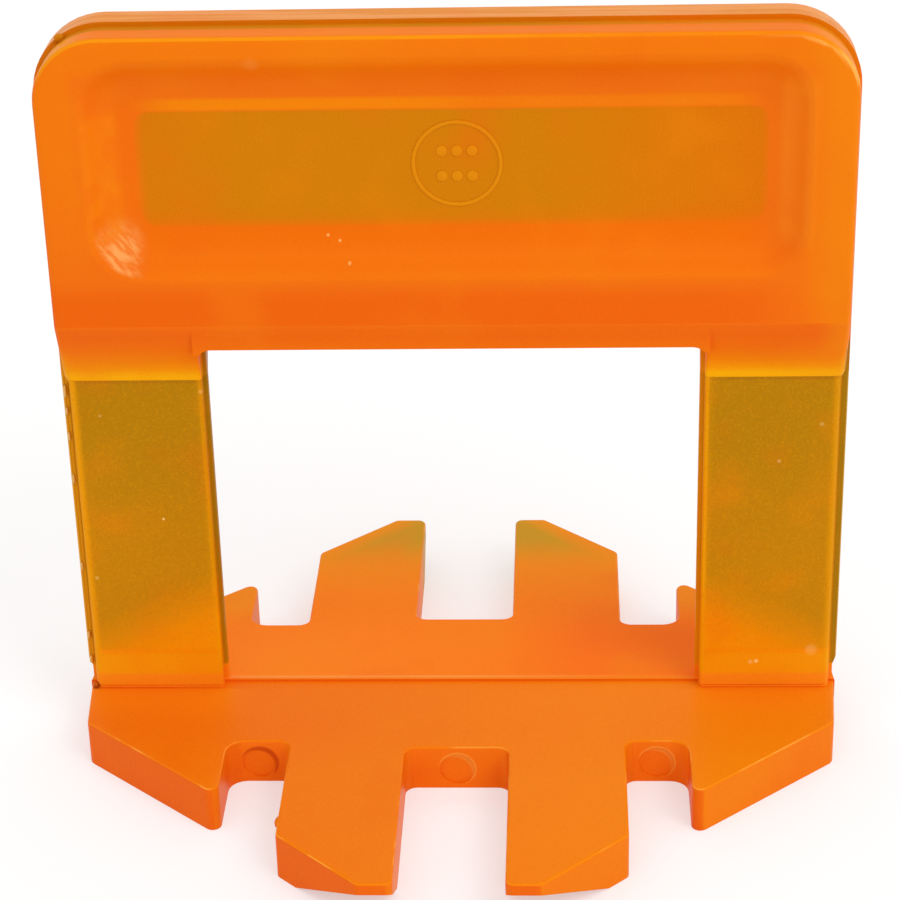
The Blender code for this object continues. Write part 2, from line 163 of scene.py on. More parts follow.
class NodeDesk:
    """Makes the nodes of one material and wires them up."""

    def __init__(self, tree: bpy.types.NodeTree) -> None:
        """Clears the tree that it works in.

        Args:
            tree: The material's or world's node tree.
        """
        self.tree = tree
        tree.nodes.clear()

    def add(
        self,
        kind: str,
        settings: Mapping[str, object] | None = None,
        sockets: Mapping[str | int, object] | None = None,
    ) -> bpy.types.Node:
        """Adds a node, sets it up, and then fills its sockets.

        Args:
            kind: The node's type, without the leading ShaderNode.
            settings: Its properties. The entry "stops" holds a ramp's (place, tone) pairs.
            sockets: Values or links, by the socket's name or number.

        Returns:
            The new node.
        """
        node = self.tree.nodes.new(f"ShaderNode{kind}")
        for name, value in (settings or {}).items():
            if name == "stops":
                self._set_stops(node.color_ramp, value)
            else:
                setattr(node, name, value)
        for name, value in (sockets or {}).items():
            self.join(value, node.inputs[name])
        return node

    def _set_stops(self, ramp: bpy.types.ColorRamp, stops: Stops) -> None:
        """Gives a ramp its stops.

        Args:
            ramp: The ramp of a Color Ramp node.
            stops: Pairs of place and tone, in order.
        """
        while len(ramp.elements) > 1:
            ramp.elements.remove(ramp.elements[-1])
        for index, (place, tone) in enumerate(stops):
            element = ramp.elements[0] if index == 0 else ramp.elements.new(place)
            element.position = place
            element.color = (*tone.value, 1)

    def join(self, value: object, socket: bpy.types.NodeSocket) -> None:
        """Links a field or a socket to a socket, or sets the socket's own value.

        Args:
            value: A Field, a Tone, an output socket, or a plain number, colour or vector.
            socket: The input socket to fill.
        """
        if isinstance(value, Field):
            value = value.socket
        if isinstance(value, Tone):
            value = value.value
        if isinstance(value, bpy.types.NodeSocket):
            self.tree.links.new(value, socket)
        elif isinstance(value, (tuple, list)) and socket.type == "RGBA":
            socket.default_value = (*value, 1)[:4]
        else:
            socket.default_value = value

    def math(self, operation: str, *values: Operand, clamped: bool = False) -> "Field":
        """Adds a Math node.

        Args:
            operation: The node's operation.
            values: Its one to three operands.
            clamped: Whether the result is held between 0 and 1.

        Returns:
            The result.
        """
        settings = {"operation": operation, "use_clamp": clamped}
        return Field(self, self.add("Math", settings, dict(enumerate(values))).outputs[0])

    def mask(self, value: "Field", start: float, end: float) -> "Field":
        """A mask that goes softly from 0, where the value is at start, to 1, where it is at end.

        Args:
            value: What is looked at.
            start: Where the mask is 0.
            end: Where the mask is 1. It may be less than start.

        Returns:
            The mask, from 0 to 1.
        """
        settings = {"interpolation_type": "SMOOTHSTEP", "clamp": True}
        ends = (start, end, 0.0, 1.0) if start < end else (end, start, 1.0, 0.0)
        node = self.add("MapRange", settings, dict(enumerate((value, *ends))))
        return Field(self, node.outputs[0])

    def mix(self, share: Operand, first: object, second: object) -> bpy.types.NodeSocket:
        """Mixes two colours.

        Args:
            share: How much of the second shows.
            first: A tone, a colour or a colour socket.
            second: A tone, a colour or a colour socket.

        Returns:
            The colour socket.
        """
        settings = {"data_type": "RGBA", "blend_type": "MIX", "clamp_factor": True}
        return self.add("Mix", settings, {0: share, 6: first, 7: second}).outputs[2]

    def ramp(self, value: "Field", stops: Stops) -> bpy.types.NodeSocket:
        """A colour read from a ramp.

        Args:
            value: Where on the ramp, from 0 to 1.
            stops: The ramp's stops.

        Returns:
            The colour socket.
        """
        return self.add("ValToRGB", {"stops": stops}, {0: value}).outputs[0]

    def seen_rays(self) -> "Field":
        """A mask of the rays that show a background: the camera's, and gloss and glass ones.

        Returns:
            The mask, 0 or 1.
        """
        path = self.add("LightPath")
        camera, gloss, through = (
            Field(self, path.outputs[name])
            for name in ("Is Camera Ray", "Is Glossy Ray", "Is Transmission Ray")
        )
        return camera.highest(gloss).highest(through)

    def noise(
        self, place: bpy.types.NodeSocket, scale: float, detail: float, rough: float
    ) -> "Field":
        """A noise pattern, from about 0 to 1.

        Args:
            place: The coordinates.
            scale: Its scale, in cycles a metre.
            detail: How many finer layers it has.
            rough: How strong the finer layers are.

        Returns:
            The pattern's value.
        """
        sockets = {"Vector": place, "Scale": scale, "Detail": detail, "Roughness": rough}
        return Field(self, self.add("TexNoise", {"noise_dimensions": "3D"}, sockets).outputs[0])


class Field:
    """A number that varies over the surface. Arithmetic on it adds Math nodes."""

    def __init__(self, desk: NodeDesk, socket: bpy.types.NodeSocket) -> None:
        """Wraps a socket.

        Args:
            desk: The desk that adds nodes.
            socket: The output socket that carries the number.
        """
        self.desk = desk
        self.socket = socket

    def __add__(self, other: Operand) -> "Field":
        """This plus the other."""
        return self.desk.math("ADD", self, other)

    def __radd__(self, other: float) -> "Field":
        """The other plus this."""
        return self.desk.math("ADD", other, self)

    def __sub__(self, other: Operand) -> "Field":
        """This less the other."""
        return self.desk.math("SUBTRACT", self, other)

    def __rsub__(self, other: float) -> "Field":
        """The other less this."""
        return self.desk.math("SUBTRACT", other, self)

    def __mul__(self, other: Operand) -> "Field":
        """This times the other."""
        return self.desk.math("MULTIPLY", self, other)

    def __rmul__(self, other: float) -> "Field":
        """The other times this."""
        return self.desk.math("MULTIPLY", other, self)

    def __truediv__(self, other: Operand) -> "Field":
        """This over the other."""
        return self.desk.math("DIVIDE", self, other)

    def __abs__(self) -> "Field":
        """This without its sign."""
        return self.desk.math("ABSOLUTE", self)

    def root(self) -> "Field":
        """The square root of this."""
        return self.desk.math("SQRT", self)

    def highest(self, other: Operand) -> "Field":
        """The higher of this and the other."""
        return self.desk.math("MAXIMUM", self, other)


class Place:
    """Where a point of the surface lies, in millimetres, and which way it faces."""

    def __init__(self, desk: NodeDesk) -> None:
        """Makes the coordinates.

        Args:
            desk: The desk that adds nodes.
        """
        self.desk = desk
        source = desk.add("TexCoord")
        self.vector = source.outputs["Object"]
        parts = desk.add("SeparateXYZ", sockets={0: self.vector})
        facing = desk.add("SeparateXYZ", sockets={0: source.outputs["Normal"]})
        self.x, self.y, self.z = (Field(desk, parts.outputs[axis]) / MM for axis in range(3))
        self.face_x, self.face_z = (Field(desk, facing.outputs[axis]) for axis in "XZ")
        self.across = abs(self.x)
        self.flat = desk.add("VectorMath", {"operation": "MULTIPLY"}, {
            0: self.vector,
            1: Vector((1, 0, 1)) / MM,
        }).outputs[0]

    def band(self, value: Field, low: float, high: float, soft: float) -> Field:
        """A mask that is 1 between two values.

        Args:
            value: What is looked at.
            low: The lower edge.
            high: The upper edge.
            soft: How far from each edge the mask still changes.

        Returns:
            The mask.
        """
        inner = self.desk.mask(value, low - soft, low + soft)
        return inner * self.desk.mask(value, high + soft, high - soft)

    def inside(self, edges: Sequence["Edge"]) -> Field:
        """The part of the surface that is inside some edges.

        Args:
            edges: The edges.

        Returns:
            The mask.
        """
        mask = edges[0].mask(self)
        for edge in edges[1:]:
            mask = mask * edge.mask(self)
        return mask

    def lay(self, colour: object, patches: Sequence["Patch"]) -> bpy.types.NodeSocket:
        """Lays patches on a colour, one over the other.

        Args:
            colour: A tone or a colour socket.
            patches: The patches, the lowest first.

        Returns:
            The colour socket.
        """
        for patch in patches:
            colour = self.desk.mix(self.inside(patch.edges) * patch.share, colour, patch.tone)
            colour.node.label = patch.what
        return colour

    def from_spot(self, x: float, height: float) -> Field:
        """How far a point is from a spot, seen from the front.

        Args:
            x: The spot's X.
            height: The spot's Z.

        Returns:
            The distance in millimetres.
        """
        node = self.desk.add("VectorMath", {"operation": "DISTANCE"}, {
            0: self.flat,
            1: Vector((x, 0, height)),
        })
        return Field(self.desk, node.outputs["Value"])


class Edge(Protocol):
    """Anything that a patch can end at, or be broken up by."""

    def mask(self, place: Place) -> Field:
        """A mask that is 1 inside the edge and 0 outside."""


class Along(Enum):
    """What an edge is measured along: millimetres, or a part of the surface's facing."""

    X = "x"
    Y = "y"
    Z = "z"
    ACROSS = "across"
    FACE_X = "face_x"
    FACE_Z = "face_z"


@dataclass(frozen=True)
class Fade:
    """A soft edge that is 0 at start and 1 at end."""

    along: Along
    start: float
    end: float

    def mask(self, place: Place) -> Field:
        """The edge's mask."""
        return place.desk.mask(getattr(place, self.along.value), self.start, self.end)


@dataclass(frozen=True)
class Band:
    """Two soft edges with a stretch between them that is 1."""

    along: Along
    low: float
    high: float
    soft: float

    def mask(self, place: Place) -> Field:
        """The band's mask."""
        return place.band(getattr(place, self.along.value), self.low, self.high, self.soft)


@dataclass(frozen=True)
class Spot:
    """A round edge, seen from the front, that is 0 at one radius and 1 at the other."""

    x: float
    height: float
    start: float
    end: float

    def mask(self, place: Place) -> Field:
        """The spot's mask."""
        return place.desk.mask(place.from_spot(self.x, self.height), self.start, self.end)


@dataclass(frozen=True)
class Mottle:
    """A noise that weakens a patch here and there, down to its least strength."""

    scale: float
    detail: float
    rough: float
    start: float
    end: float
    least: float

    def mask(self, place: Place) -> Field:
        """The noise's mask."""
        noise = place.desk.noise(place.vector, self.scale, self.detail, self.rough)
        return self.least + (1.0 - self.least) * place.desk.mask(noise, self.start, self.end)


@dataclass(frozen=True)
class Weaker:
    """Takes a part of a patch's strength away inside another edge."""

    part: float
    edge: Edge

    def mask(self, place: Place) -> Field:
        """What is left of the strength."""
        return 1.0 - self.part * self.edge.mask(place)


@dataclass(frozen=True)
class Patch:
    """A tone that covers a share of what is below it, inside all of its edges."""

    what: str
    tone: Tone
    share: float
    edges: tuple[Edge, ...]


LIP_LINE = 28.1
LEG_TOP = 24.0
FOOT_TOP = 3.9

ABOVE_LIP = Fade(Along.Z, LIP_LINE - 0.05, LIP_LINE + 0.05)
HEAD = (
    Patch("upper rim", Tone.PALE_RIM, 0.9, (Fade(Along.Z, 42.8, 44.0),)),
    Patch("left rim", Tone.PALE_RIM, 0.8, (
        Fade(Along.X, -20.2, -21.0), Fade(Along.Z, 30.0, 40.0),
    )),
    Patch("low flank", Tone.PALE_RIM, 0.5, (
        Band(Along.Z, 30.9, 32.3, 0.4), Band(Along.X, -17.0, 18.0, 0.8),
    )),
    Patch("below the web", Tone.BESIDE_WEB, 0.8, (
        Band(Along.Z, 32.5, 34.0, 0.5), Band(Along.X, -17.5, 17.5, 0.8),
    )),
    # Painted highlight on the left flank of the dish, broken up by noise.
    Patch("left flank", Tone.PAINTED_LIGHT_AND_CLOUD, 0.75, (
        Band(Along.X, -20.2, -18.4, 0.35), Band(Along.Z, 33.0, 40.6, 0.9),
        Mottle(700.0, 1.0, 0.5, 0.35, 0.6, least=0.45),
    )),
    Patch("left of the web", Tone.BESIDE_WEB, 0.45, (
        Band(Along.X, -18.3, -17.4, 0.6), Band(Along.Z, 33.5, 41.2, 0.6),
    )),
    # Painted light on the right flank, against the shade of the rim's rounding.
    Patch("right flank", Tone.RIGHT_FLANK_LIGHT, 0.6, (
        Band(Along.X, 18.6, 20.4, 0.4), Band(Along.Z, 33.0, 42.5, 0.8),
    )),
    Patch("glow over the web", Tone.GLOW, 0.95, (
        Band(Along.Z, 40.65, 41.35, 0.18), Fade(Along.X, -18.0, -14.5),
        Fade(Along.X, 18.0, 15.5), Weaker(0.45 / 0.95, Fade(Along.X, -4.0, 4.0)),
    )),
    Patch("flat band over the lip", Tone.LIP, 0.95, (
        Fade(Along.Z, 31.2, 29.6), ABOVE_LIP, Fade(Along.X, 21.0, 16.0),
    )),
    # Painted light: the right rim lighter, on the lamp's side.
    Patch("right rim", Tone.RIGHT_RIM_LIGHT, 0.85, (Fade(Along.X, 19.4, 21.8), ABOVE_LIP)),
    Patch("lit edge of the lip", Tone.PAINTED_LIGHT_AND_CLOUD, 0.3, (
        Band(Along.Z, LIP_LINE - 0.05, LIP_LINE + 0.03, 0.04), Fade(Along.Y, -1.0, -1.5),
    )),
)

FACING_UP = Fade(Along.FACE_Z, 0.5, 0.9)
UPRIGHT = Fade(Along.FACE_Z, 0.45, 0.2)
LIT_FROM_RIGHT = Weaker(0.7, Fade(Along.FACE_X, 0.1, 0.5))
BEHIND = Fade(Along.Y, 0.2, 0.6)
UPPER_EDGE = Band(Along.FACE_Z, 0.4, 0.9, 0.06)
BASE = (
    Patch("outer tips", Tone.OUTER_TIP, 1.0, (
        Fade(Along.ACROSS, 10.8, 11.4), Fade(Along.Y, 5.5, 9.5),
    )),
    Patch("left of the back", Tone.BACK_LEFT, 0.6, (
        BEHIND, Fade(Along.X, 6.0, -12.0), Fade(Along.Y, 9.0, 3.0),
    )),
    Patch("right of the back", Tone.BACK_RIGHT, 0.7, (
        BEHIND, Fade(Along.X, 1.0, 9.0), Fade(Along.Y, 11.0, 5.0),
    )),
    # Painted highlight on the edge of the step behind the parting line.
    Patch("pale line at the step", Tone.STEP_HIGHLIGHT, 0.7, (
        Band(Along.Y, 0.12, 0.34, 0.08), Fade(Along.X, 12.0, -2.0), FACING_UP,
    )),
    # Painted shade: upright walls redder than the tops, less so where they face right, towards the
    # lamp.
    Patch("walls", Tone.WALL, 1.0, (UPRIGHT, LIT_FROM_RIGHT, Fade(Along.Y, 14.0, 10.0))),
    # Painted light on the walls deep in the notches, against the shade there.
    Patch("walls in the notches", Tone.NOTCH_FILL_LIGHT, 1.0, (
        UPRIGHT, LIT_FROM_RIGHT, Band(Along.Y, -7.6, -6.2, 0.2), Fade(Along.ACROSS, 16.0, 15.0),
    )),
    # Painted glow and a mottled painted highlight on the upper roundings of the base.
    Patch("glow along the edges", Tone.GLOW, 0.5, (UPPER_EDGE,)),
    Patch("mottled edge highlights", Tone.EDGE_HIGHLIGHT, 0.75, (
        UPPER_EDGE, Mottle(330.0, 2.0, 0.65, 0.5, 0.62, least=0.0),
    )),
    # Painted light on the base's top beside the legs, against the shade they cast.
    Patch("light through the legs", Tone.BESIDE_LEG_LIGHT, 0.6, (
        Band(Along.Y, -5.0, -0.85, 0.0001), Fade(Along.Y, -5.5, -0.9),
        Fade(Along.ACROSS, 12.0, 15.0), FACING_UP,
    )),
)
# Behind the parting line the base is paler: partly painted light where the head shades it, and
# yellower towards the thin ends of the fingers.
BACK_STOPS = (
    (0.0, Tone.BACK_SEAM),
    (0.25, Tone.BACK),
    (0.45, Tone.BACK_MIDDLE),
    (0.58, Tone.BACK_FINGER),
    (0.72, Tone.BACK_FINGER_END),
    (1.0, Tone.BACK_TIP),
)

RAMP = (
    Patch("outer corner", Tone.BRIGHT_EDGE, 0.7, (
        Fade(Along.ACROSS, 22.0, 22.8), Fade(Along.Z, 27.0, 24.6),
    )),
    # Painted light on the right ramp's outer end.
    Patch("right edge", Tone.PAINTED_LIGHT_AND_CLOUD, 0.8, (
        Fade(Along.X, 20.6, 22.4), Fade(Along.Z, 25.2, 26.4),
    )),
)
RAMP_STOPS = (
    (0.0, Tone.RAMP_END),
    (0.08, Tone.RAMP_END),
    (0.2, Tone.RAMP_LOW),
    (0.34, Tone.RAMP_YELLOWER),
    (0.55, Tone.RAMP_MIDDLE),
    (0.8, Tone.RAMP_UPPER),
    (1.0, Tone.RAMP_TOP),
)

LEG = (
    Patch("shade of the lip", Tone.SHADED_EDGE, 0.6, (
        Band(Along.Z, LEG_TOP - 0.2, LEG_TOP, 0.05),
    )),
    Patch("foot", Tone.FOOT, 1.0, (Fade(Along.Z, FOOT_TOP + 1.75, FOOT_TOP + 1.55),)),
    Patch("top of the foot", Tone.GLOW, 0.5, (Band(Along.Z, 5.3, 5.65, 0.08),)),
    # Painted light on the bottom of the foot, against the shade where it meets the base.
    Patch("bottom of the foot", Tone.FOOT_BOTTOM_LIGHT, 1.0, (
        Fade(Along.Z, FOOT_TOP + 0.25, FOOT_TOP - 0.05),
    )),
)
LEG_STOPS = (
    (0.0, Tone.FOOT),
    (0.2, Tone.FOOT_UPPER),
    (0.4, Tone.FOOT_FADE),
    (0.6, Tone.LEG_FADE),
    (0.85, Tone.LEG_LOW),
    (1.0, Tone.LEG_LOW),
)

EDGES = (
    # Painted highlight on the head's roundings, weaker towards the right.
    Patch("roundings of the head", Tone.ROUNDING_HIGHLIGHT, 0.8, (
        Band(Along.FACE_Z, 0.3, 0.94, 0.08), Fade(Along.Z, 40.5, 42.5),
        Weaker(0.5, Fade(Along.X, -2.0, 12.0)),
    )),
    # Painted highlight: a crescent on the rounding of the right upper corner.
    Patch("crescent on the right corner", Tone.CORNER_HIGHLIGHT, 0.8, (
        Band(Along.FACE_Z, 0.15, 0.5, 0.1), Band(Along.Z, 42.0, 45.0, 0.4),
        Fade(Along.X, 16.5, 18.5), Fade(Along.Y, -1.5, -1.9),
    )),
    # Painted highlight along the upper edge of the window.
    Patch("upper edge of the window", Tone.WINDOW_EDGE_HIGHLIGHT, 0.6, (
        Band(Along.Z, 26.0, 26.24, 0.05), Fade(Along.ACROSS, 14.4, 14.2),
        Fade(Along.Y, 0.0, -0.5),
    )),
    # Painted shade along the parting step at the top of the head, weaker towards the right.
    Patch("parting line", Tone.PARTING_SHADE, 0.95, (
        Band(Along.Y, -0.75, 0.02, 0.08), Fade(Along.Z, 41.5, 43.5),
        Weaker(0.4 / 0.95, Fade(Along.X, 4.0, 14.0)),
    )),
)


def speck(x: float, height: float, radius: float, share: float) -> Patch:
    """A pale speck in the plastic, seen from the front.

    Args:
        x: Its place across the clip.
        height: Its height.
        radius: Its radius.
        share: How strong it is.

    Returns:
        The patch.
    """
    edges = (Spot(x, height, radius, radius * 0.3), Fade(Along.Y, 0.0, -0.1))
    return Patch("speck", Tone.SPECK, share, edges)


def pin_mark(x: float, tone: Tone) -> Patch:
    """The crescent of light or shade in an ejector pin's mark, on a wall of a notch.

    Args:
        x: The mark's place across the clip.
        tone: The crescent's tone.

    Returns:
        The patch.
    """
    outer, inner = Spot(x, 1.35, 1.2, 1.1), Spot(x - 0.22, 1.02, 1.0, 1.2)
    return Patch("pin mark", tone, 0.85, (outer, inner, Band(Along.Y, -7.5, -6.2, 0.1)))


MARKS = (
    Patch("raised cavity mark", Tone.RAISED_MARK, 0.5, (
        Fade(Along.Y, -0.71, -0.74), Spot(0.59, 37.37, 3.0, 2.8),
    )),
    Patch("pale bead along the legs", Tone.PALE_BEAD, 0.5, (
        Fade(Along.ACROSS, 22.8, 22.82), Band(Along.Y, -0.4, -0.04, 0.01),
        Band(Along.Z, FOOT_TOP, LEG_TOP, 0.2),
    )),
    Patch("dark lump of flash", Tone.DARK_LUMP, 0.8, (
        Spot(-22.6, 3.1, 0.34, 0.22), Band(Along.Y, -0.85, -0.45, 0.05),
    )),
    Patch("corner of the window", Tone.WINDOW_CORNER, 0.8, (
        Spot(-14.15, 25.9, 0.5, 0.25), Fade(Along.Z, 26.04, 25.98),
    )),
    pin_mark(-11.875, Tone.PIN_SHADE),
    pin_mark(0.0, Tone.PIN_LIGHT),
    pin_mark(11.875, Tone.PIN_LIGHT),
    speck(-17.55, 14.76, 0.12, 0.8),
    speck(-20.81, 21.69, 0.13, 0.3),
    speck(-14.75, 23.22, 0.18, 0.3),
    speck(-21.9, 10.7, 0.16, 0.35),
    speck(18.09, 4.79, 0.17, 0.8),
    speck(17.74, 4.74, 0.2, 0.4),
    speck(21.4, 5.55, 0.5, 0.22),
    speck(19.08, 18.48, 0.17, 0.3),
    speck(21.5, 20.9, 0.2, 0.25),
    speck(-6.82, 33.14, 0.12, 0.6),
    speck(-6.15, 32.83, 0.12, 0.6),
    speck(-5.59, 31.73, 0.13, 0.5),
    speck(-10.52, 43.71, 0.6, 0.07),
)


@dataclass(frozen=True)
class TranslucentPlastic:
    """Plastic that light goes through: a thin wall of it looks ochre, and a thick one orange.
    Painted highlights, sheen, light and shade are laid over these colours.
    """

    name: str = "translucent_orange_plastic"
    web_left: float = -17.35
    web_right: float = 17.85
    web_bottom: float = 33.8
    web_top: float = 40.6
    web_middle: tuple[float, float] = (0.25, 37.2)
    web_straight: tuple[float, float] = (16.4, 2.2)
    scuff: tuple[Edge, ...] = (
        Spot(-17.2, 33.8, 2.85, 2.6),
        Spot(-18.65, 32.3, 2.4, 0.2),
        Fade(Along.X, -16.9, -18.0),
        Fade(Along.Y, -0.5, -0.8),
    )
    scuff_turn: float = math.radians(48)
    leg_inner: float = 14.4
    leg_outer: float = 22.9
    base_top: float = 2.95
    back_rise: float = 0.2
    finger_reach: float = 20.75
    cloud_scale: float = 170.0
    grain_scale: float = 8500.0
    grain_depth: float = 0.00002
    grain_strength: float = 0.2
    refraction: float = 1.5
    gloss: float = 0.04
    roughness: float = 0.36
    thin_rougher: float = 0.1
    scuff_rougher: float = 0.25
    cloud_rougher: float = 0.12

    def build(self) -> bpy.types.Material:
        """Makes the material.

        Returns:
            The new material.
        """
        material = bpy.data.materials.new(self.name)
        material.use_nodes = True
        desk = NodeDesk(material.node_tree)
        place = Place(desk)
        cloud = desk.noise(place.vector, self.cloud_scale, 2.0, 0.55)
        grain = desk.noise(place.vector, self.grain_scale, 1.0, 0.6)
        scuff = self._scuff(place)
        thin = self._thin(place)
        colour = self._web(place, place.lay(Tone.THICK, HEAD))
        colour = self._base(place, colour)
        colour = self._legs(place, colour)
        colour = self._edges(place, colour)
        colour = self._variation(place, colour, cloud, grain, thin)
        colour = place.lay(colour, MARKS)
        colour = desk.mix(scuff, colour, Tone.SCUFF)
        roughness = self.roughness + self.thin_rougher * thin + self.scuff_rougher * scuff
        roughness = roughness + self.cloud_rougher * (cloud - 0.5)
        bump = desk.add("Bump", sockets={
            "Strength": self.grain_strength,
            "Distance": self.grain_depth,
            "Height": grain,
        })
        shader = desk.add("BsdfPrincipled", sockets={
            "Base Color": colour,
            "Roughness": roughness,
            "IOR": self.refraction,
            "Specular IOR Level": self.gloss,
            "Normal": bump.outputs[0],
        })
        desk.add("OutputMaterial", sockets={"Surface": shader.outputs[0]})
        return material

    def _thin(self, place: Place) -> Field:
        """Where the wall is thin, and the mould left it finely grained.

        Args:
            place: The coordinates.

        Returns:
            The mask.
        """
        desk = place.desk
        under_top = desk.mask(place.z, LEG_TOP + 0.05, LEG_TOP - 0.05)
        return (desk.mask(place.z, 5.5, 10.5) * under_top).highest(self._in_web(place))

    def _in_web(self, place: Place) -> Field:
        """The thin web in the middle of the dish.

        Args:
            place: The coordinates.

        Returns:
            The mask.
        """
        desk = place.desk
        left = desk.mask(place.x, self.web_left - 0.35, self.web_left + 0.55)
        right = desk.mask(place.x, self.web_right + 0.4, self.web_right - 0.4)
        bottom = desk.mask(place.z, self.web_bottom - 0.5, self.web_bottom + 0.5)
        top = desk.mask(place.z, self.web_top + 0.12, self.web_top - 0.12)
        aside = (abs(place.x - self.web_middle[0]) - self.web_straight[0]).highest(0.0)
        above = (abs(place.z - self.web_middle[1]) - self.web_straight[1]).highest(0.0)
        rounded = desk.mask((aside * aside + above * above).root(), 1.55, 1.1)
        return left * right * bottom * top * rounded

    def _scuff(self, place: Place) -> Field:
        """The pale rubbed patch in the lower left corner of the dish, ending at its rounded rim.

        Args:
            place: The coordinates.

        Returns:
            The mask.
        """
        desk = place.desk
        turned = desk.add("Mapping", {"vector_type": "TEXTURE"}, {
            "Vector": place.vector,
            "Rotation": Euler((0.0, self.scuff_turn, 0.0)),
            "Scale": Vector((3.0, 1.0, 0.7)),
        })
        streaks = desk.mask(desk.noise(turned.outputs[0], 2600.0, 2.0, 0.6), 0.36, 0.66)
        return place.inside(self.scuff) * (0.2 + 0.75 * streaks)

    def _web(self, place: Place, colour: bpy.types.NodeSocket) -> bpy.types.NodeSocket:
        """The thin web, redder towards its right end and its lower edge.

        Args:
            place: The coordinates.
            colour: The colours so far.

        Returns:
            The colour socket.
        """
        desk, x = place.desk, place.x
        redder = desk.mask(x, 3.0, 18.0) * 0.75 + desk.mask(x, -10.0, -18.0) * 0.35
        redder = redder + desk.mask(place.z, 35.2, 33.8) * 0.3
        web = desk.mix(redder, Tone.WEB, Tone.WEB_RIGHT)
        return desk.mix(self._in_web(place), colour, web)

    def _base(self, place: Place, colour: bpy.types.NodeSocket) -> bpy.types.NodeSocket:
        """The comb-shaped base, with painted light that makes it lighter towards its right and its
        front and painted shade that makes its walls redder.

        Args:
            place: The coordinates.
            colour: The colours so far.

        Returns:
            The colour socket.
        """
        desk, y = place.desk, place.y
        # Painted light: lighter towards the right, the lamp's side, and towards the front.
        painted_light = desk.mask(place.x, -22.0, 24.0) * 0.85 + desk.mask(y, -5.0, -12.0) * 0.3
        base = desk.mix(painted_light, Tone.THICK, Tone.PAINTED_LIGHT_AND_CLOUD)
        back = desk.ramp(y / self.finger_reach, BACK_STOPS)
        base = desk.mix(desk.mask(y, 0.0, 0.3), base, back)
        from_slant = ((10.0 - place.across) * 4.65 + (16.1 - y) * 4.9) / 6.76
        thin_tip = desk.mask(y, 14.0, 18.5) * desk.mask(from_slant, 0.3, 1.8)
        base = place.lay(desk.mix(thin_tip, base, Tone.THIN_TIP), BASE)
        return desk.mix(self._over_base(place, 0.02, -0.02), colour, base)

    def _over_base(self, place: Place, start: float, end: float) -> Field:
        """A mask by the height over the base's top, which steps up behind the parting line.

        Args:
            place: The coordinates.
            start: The height where the mask is 0.
            end: The height where it is 1.

        Returns:
            The mask.
        """
        top = self.base_top + self.back_rise * place.desk.mask(place.y, -0.02, 0.02)
        return place.desk.mask(place.z - top, start, end)

    def _legs(self, place: Place, colour: bpy.types.NodeSocket) -> bpy.types.NodeSocket:
        """The ramps under the head, the legs and their feet, from orange through yellow to ochre,
        with painted shade under the lip and painted light where the feet meet the base.

        Args:
            place: The coordinates.
            colour: The colours so far.

        Returns:
            The colour socket.
        """
        desk, z = place.desk, place.z
        ramp = desk.ramp((z - LEG_TOP) / (LIP_LINE - LEG_TOP), RAMP_STOPS)
        ramp = place.lay(ramp, RAMP)
        slanted = (z + 0.48 * (place.across - 15.4) - 5.0) / 7.0
        leg = desk.mix(desk.mask(z, 22.0, 10.0), Tone.LEG, Tone.LEG_LOW)
        leg = desk.mix(desk.mask(slanted, 1.0, 0.85), leg, desk.ramp(slanted, LEG_STOPS))
        leg = place.lay(leg, LEG)
        # Painted light on the leg just over the base, against the shade of the break line.
        leg = desk.mix(self._over_base(place, 0.25, 0.1), leg, Tone.BREAK_LINE_LIGHT)
        under_lip = desk.mix(desk.mask(z, LEG_TOP - 0.02, LEG_TOP + 0.02), leg, ramp)
        between = desk.mask(z, LIP_LINE + 0.02, LIP_LINE - 0.02)
        return desk.mix(self._over_base(place, -0.02, 0.02) * between, colour, under_lip)

    def _edges(self, place: Place, colour: bpy.types.NodeSocket) -> bpy.types.NodeSocket:
        """The lines along the legs' sides, with painted highlights and painted shade on their
        ledges, the painted highlights on the head's roundings, the painted shade along its parting
        step and the painted sheen on the back half's top.

        Args:
            place: The coordinates.
            colour: The colours so far.

        Returns:
            The colour socket.
        """
        desk, x, across = place.desk, place.x, place.across
        on_leg = place.band(place.z, FOOT_TOP + 0.3, LEG_TOP, 0.1)
        from_inner = across - self.leg_inner
        from_outer = self.leg_outer - across
        # Painted highlights along the legs' sides: the bands near the edges are lighter, more so on
        # the lit stretches.
        lit = desk.mask(x, -20.0, -21.0) + place.band(x, 14.0, 17.0, 0.5)
        strength = on_leg * (0.5 + 0.5 * lit)
        bright = place.band(from_inner, 0.25, 0.5, 0.1)
        bright = bright.highest(place.band(from_outer, 0.3, 0.75, 0.2))
        near = desk.mask(from_inner, 0.95, 0.3).highest(desk.mask(from_outer, 1.15, 0.4))
        colour = desk.mix(near * strength * 0.3, colour, Tone.BRIGHT_EDGE)
        colour = desk.mix(bright * strength * 0.9, colour, Tone.BRIGHT_EDGE)
        # Painted light and shade on the ledges: a shaded tone where unlit, a lighter tone where
        # lit.
        ledge = desk.mask(from_inner, 0.28, 0.18).highest(desk.mask(from_outer, 0.28, 0.18))
        ledge = ledge * place.band(place.z, FOOT_TOP + 0.3, 26.0, 0.1)
        colour = desk.mix(ledge * (1.0 - lit) * 0.85, colour, Tone.SHADED_LEDGE)
        colour = desk.mix(ledge * lit * 0.85, colour, Tone.LIT_LEDGE)
        wander = from_outer + (desk.noise(place.vector, 500.0, 1.0, 0.5) - 0.5) * 0.12
        lines = place.band(wander, 0.22, 0.27, 0.04) + place.band(wander, 0.02, 0.06, 0.05)
        colour = desk.mix(lines * on_leg * 0.8, colour, Tone.THIN_LINE)
        rim = desk.mask(from_outer, -0.02, -0.08) * on_leg
        colour = desk.mix(rim * 0.6, colour, Tone.PALE_OUTLINE)
        colour = place.lay(colour, EDGES)
